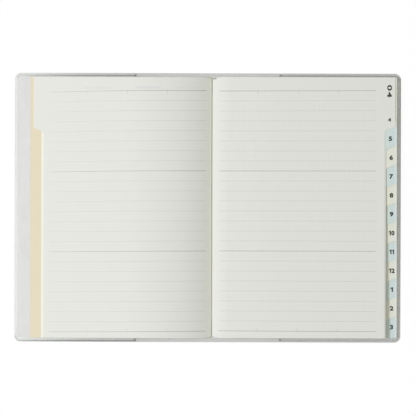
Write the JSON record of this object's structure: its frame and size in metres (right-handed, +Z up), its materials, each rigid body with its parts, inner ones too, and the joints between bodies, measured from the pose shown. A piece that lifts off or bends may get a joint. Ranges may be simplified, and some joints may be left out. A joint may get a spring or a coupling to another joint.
{
  "type": "monthly planner",
  "caption": "Small monthly planner lying open at its first month: index-cut month leaves with stepped tabs, ruled memo pages, a card cover and a clear vinyl jacket with flaps",
  "frame": {"origin": "on the table, at the middle of the open jacket's underside", "axes": "+X runs across the open spread to the fore edge of the tabbed pile, +Y runs to the head of the pages, +Z is up"},
  "size_m": [0.27, 0.188, 0.0053],
  "materials": {
    "vinyl": "clear, slightly grey soft vinyl, satin",
    "cover_card": "plain off-white card, matt",
    "spine_lining": "kraft paper strip, matt",
    "thread": "white sewing thread",
    "endpaper": "thick plain paper, matt",
    "page": "smooth off-white writing paper with grey ruling",
    "year_leaf": "cream-yellow paper, matt",
    "blue_tab_page": "off-white paper with a pale blue printed tab",
    "cream_tab_page": "off-white paper with a pale cream printed tab"
  },
  "bodies": {
    "back_cover": {"jacket_back_panel": "vinyl", "back_flap": "vinyl", "back_card": "cover_card", "sewing_thread": "thread"},
    "spine": {"jacket_spine_panel": "vinyl", "spine_card": "cover_card", "spine_lining": "spine_lining"},
    "front_cover": {"jacket_front_panel": "vinyl", "front_flap": "vinyl", "front_card": "cover_card"},
    "front_endpaper": {"front_endpaper": "endpaper"},
    "front_matter_leaf_1": {"front_matter_leaf_1": "page"},
    "front_matter_leaf_2": {"front_matter_leaf_2": "page"},
    "front_matter_leaf_3": {"front_matter_leaf_3": "page"},
    "year_leaf": {"year_leaf": "year_leaf"},
    "april_calendar": {"april_calendar_leaf": "page"},
    "back_endpaper": {"back_endpaper": "endpaper"},
    "notes_leaf_5": {"notes_leaf_5": "page"},
    "notes_leaf_4": {"notes_leaf_4": "page"},
    "notes_leaf_3": {"notes_leaf_3": "page"},
    "notes_leaf_2": {"notes_leaf_2": "page"},
    "notes_leaf_1": {"notes_leaf_1": "page"},
    "march_memo": {"march_memo_leaf": "blue_tab_page"},
    "march_calendar": {"march_calendar_leaf": "blue_tab_page"},
    "february_memo": {"february_memo_leaf": "cream_tab_page"},
    "february_calendar": {"february_calendar_leaf": "cream_tab_page"},
    "january_memo": {"january_memo_leaf": "blue_tab_page"},
    "january_calendar": {"january_calendar_leaf": "blue_tab_page"},
    "december_memo": {"december_memo_leaf": "cream_tab_page"},
    "december_calendar": {"december_calendar_leaf": "cream_tab_page"},
    "november_memo": {"november_memo_leaf": "blue_tab_page"},
    "november_calendar": {"november_calendar_leaf": "blue_tab_page"},
    "october_memo": {"october_memo_leaf": "cream_tab_page"},
    "october_calendar": {"october_calendar_leaf": "cream_tab_page"},
    "september_memo": {"september_memo_leaf": "blue_tab_page"},
    "september_calendar": {"september_calendar_leaf": "blue_tab_page"},
    "august_memo": {"august_memo_leaf": "cream_tab_page"},
    "august_calendar": {"august_calendar_leaf": "cream_tab_page"},
    "july_memo": {"july_memo_leaf": "blue_tab_page"},
    "july_calendar": {"july_calendar_leaf": "blue_tab_page"},
    "june_memo": {"june_memo_leaf": "cream_tab_page"},
    "june_calendar": {"june_calendar_leaf": "cream_tab_page"},
    "may_memo": {"may_memo_leaf": "blue_tab_page"},
    "may_calendar": {"may_calendar_leaf": "blue_tab_page"},
    "april_memo": {"april_memo_leaf": "page"}
  },
  "joints": [
    {"name": "cover_close", "type": "hinge", "parent": "back_cover", "child": "spine", "pos_m": [0.00317, 0, 0.00101], "axis": [0, -1, 0], "range_deg": [-90, 0]},
    {"name": "front_cover_fold", "type": "hinge", "parent": "spine", "child": "front_cover", "pos_m": [-0.00317, 0, 0.00101], "axis": [0, -1, 0], "range_deg": [-90, 0]},
    {"name": "front_endpaper_turn", "type": "hinge", "parent": "back_cover", "child": "front_endpaper", "pos_m": [0.00337, 0, 0.00415], "axis": [0, -1, 0], "range_deg": [-180, 0]},
    {"name": "front_matter_leaf_1_turn", "type": "hinge", "parent": "front_endpaper", "child": "front_matter_leaf_1", "pos_m": [0.00337, 0, 0.00415], "axis": [0, 1, 0], "range_deg": [0, 180]},
    {"name": "front_matter_leaf_2_turn", "type": "hinge", "parent": "front_matter_leaf_1", "child": "front_matter_leaf_2", "pos_m": [0.00337, 0, 0.00415], "axis": [0, 1, 0], "range_deg": [0, 180]},
    {"name": "front_matter_leaf_3_turn", "type": "hinge", "parent": "front_matter_leaf_2", "child": "front_matter_leaf_3", "pos_m": [0.00337, 0, 0.00415], "axis": [0, 1, 0], "range_deg": [0, 180]},
    {"name": "year_leaf_turn", "type": "hinge", "parent": "front_matter_leaf_3", "child": "year_leaf", "pos_m": [0.00337, 0, 0.00415], "axis": [0, 1, 0], "range_deg": [0, 180]},
    {"name": "april_calendar_turn", "type": "hinge", "parent": "year_leaf", "child": "april_calendar", "pos_m": [0.00337, 0, 0.00415], "axis": [0, 1, 0], "range_deg": [0, 180]},
    {"name": "back_endpaper_turn", "type": "hinge", "parent": "back_cover", "child": "back_endpaper", "pos_m": [0.00337, 0, 0.00415], "axis": [0, -1, 0], "range_deg": [0, 180]},
    {"name": "notes_leaf_5_turn", "type": "hinge", "parent": "back_endpaper", "child": "notes_leaf_5", "pos_m": [0.00337, 0, 0.00415], "axis": [0, -1, 0], "range_deg": [0, 180]},
    {"name": "notes_leaf_4_turn", "type": "hinge", "parent": "notes_leaf_5", "child": "notes_leaf_4", "pos_m": [0.00337, 0, 0.00415], "axis": [0, -1, 0], "range_deg": [0, 180]},
    {"name": "notes_leaf_3_turn", "type": "hinge", "parent": "notes_leaf_4", "child": "notes_leaf_3", "pos_m": [0.00337, 0, 0.00415], "axis": [0, -1, 0], "range_deg": [0, 180]},
    {"name": "notes_leaf_2_turn", "type": "hinge", "parent": "notes_leaf_3", "child": "notes_leaf_2", "pos_m": [0.00337, 0, 0.00415], "axis": [0, -1, 0], "range_deg": [0, 180]},
    {"name": "notes_leaf_1_turn", "type": "hinge", "parent": "notes_leaf_2", "child": "notes_leaf_1", "pos_m": [0.00337, 0, 0.00415], "axis": [0, -1, 0], "range_deg": [0, 180]},
    {"name": "march_memo_turn", "type": "hinge", "parent": "notes_leaf_1", "child": "march_memo", "pos_m": [0.00337, 0, 0.00415], "axis": [0, -1, 0], "range_deg": [0, 180]},
    {"name": "march_calendar_turn", "type": "hinge", "parent": "march_memo", "child": "march_calendar", "pos_m": [0.00337, 0, 0.00415], "axis": [0, -1, 0], "range_deg": [0, 180]},
    {"name": "february_memo_turn", "type": "hinge", "parent": "march_calendar", "child": "february_memo", "pos_m": [0.00337, 0, 0.00415], "axis": [0, -1, 0], "range_deg": [0, 180]},
    {"name": "february_calendar_turn", "type": "hinge", "parent": "february_memo", "child": "february_calendar", "pos_m": [0.00337, 0, 0.00415], "axis": [0, -1, 0], "range_deg": [0, 180]},
    {"name": "january_memo_turn", "type": "hinge", "parent": "february_calendar", "child": "january_memo", "pos_m": [0.00337, 0, 0.00415], "axis": [0, -1, 0], "range_deg": [0, 180]},
    {"name": "january_calendar_turn", "type": "hinge", "parent": "january_memo", "child": "january_calendar", "pos_m": [0.00337, 0, 0.00415], "axis": [0, -1, 0], "range_deg": [0, 180]},
    {"name": "december_memo_turn", "type": "hinge", "parent": "january_calendar", "child": "december_memo", "pos_m": [0.00337, 0, 0.00415], "axis": [0, -1, 0], "range_deg": [0, 180]},
    {"name": "december_calendar_turn", "type": "hinge", "parent": "december_memo", "child": "december_calendar", "pos_m": [0.00337, 0, 0.00415], "axis": [0, -1, 0], "range_deg": [0, 180]},
    {"name": "november_memo_turn", "type": "hinge", "parent": "december_calendar", "child": "november_memo", "pos_m": [0.00337, 0, 0.00415], "axis": [0, -1, 0], "range_deg": [0, 180]},
    {"name": "november_calendar_turn", "type": "hinge", "parent": "november_memo", "child": "november_calendar", "pos_m": [0.00337, 0, 0.00415], "axis": [0, -1, 0], "range_deg": [0, 180]},
    {"name": "october_memo_turn", "type": "hinge", "parent": "november_calendar", "child": "october_memo", "pos_m": [0.00337, 0, 0.00415], "axis": [0, -1, 0], "range_deg": [0, 180]},
    {"name": "october_calendar_turn", "type": "hinge", "parent": "october_memo", "child": "october_calendar", "pos_m": [0.00337, 0, 0.00415], "axis": [0, -1, 0], "range_deg": [0, 180]},
    {"name": "september_memo_turn", "type": "hinge", "parent": "october_calendar", "child": "september_memo", "pos_m": [0.00337, 0, 0.00415], "axis": [0, -1, 0], "range_deg": [0, 180]},
    {"name": "september_calendar_turn", "type": "hinge", "parent": "september_memo", "child": "september_calendar", "pos_m": [0.00337, 0, 0.00415], "axis": [0, -1, 0], "range_deg": [0, 180]},
    {"name": "august_memo_turn", "type": "hinge", "parent": "september_calendar", "child": "august_memo", "pos_m": [0.00337, 0, 0.00415], "axis": [0, -1, 0], "range_deg": [0, 180]},
    {"name": "august_calendar_turn", "type": "hinge", "parent": "august_memo", "child": "august_calendar", "pos_m": [0.00337, 0, 0.00415], "axis": [0, -1, 0], "range_deg": [0, 180]},
    {"name": "july_memo_turn", "type": "hinge", "parent": "august_calendar", "child": "july_memo", "pos_m": [0.00337, 0, 0.00415], "axis": [0, -1, 0], "range_deg": [0, 180]},
    {"name": "july_calendar_turn", "type": "hinge", "parent": "july_memo", "child": "july_calendar", "pos_m": [0.00337, 0, 0.00415], "axis": [0, -1, 0], "range_deg": [0, 180]},
    {"name": "june_memo_turn", "type": "hinge", "parent": "july_calendar", "child": "june_memo", "pos_m": [0.00337, 0, 0.00415], "axis": [0, -1, 0], "range_deg": [0, 180]},
    {"name": "june_calendar_turn", "type": "hinge", "parent": "june_memo", "child": "june_calendar", "pos_m": [0.00337, 0, 0.00415], "axis": [0, -1, 0], "range_deg": [0, 180]},
    {"name": "may_memo_turn", "type": "hinge", "parent": "june_calendar", "child": "may_memo", "pos_m": [0.00337, 0, 0.00415], "axis": [0, -1, 0], "range_deg": [0, 180]},
    {"name": "may_calendar_turn", "type": "hinge", "parent": "may_memo", "child": "may_calendar", "pos_m": [0.00337, 0, 0.00415], "axis": [0, -1, 0], "range_deg": [0, 180]},
    {"name": "april_memo_turn", "type": "hinge", "parent": "may_calendar", "child": "april_memo", "pos_m": [0.00337, 0, 0.00415], "axis": [0, -1, 0], "range_deg": [0, 180]}
  ],
  "couplings": [
    {"joint": "front_cover_fold", "follows": "cover_close", "ratio": 1},
    {"joint": "front_endpaper_turn", "follows": "cover_close", "ratio": 2}
  ]
}
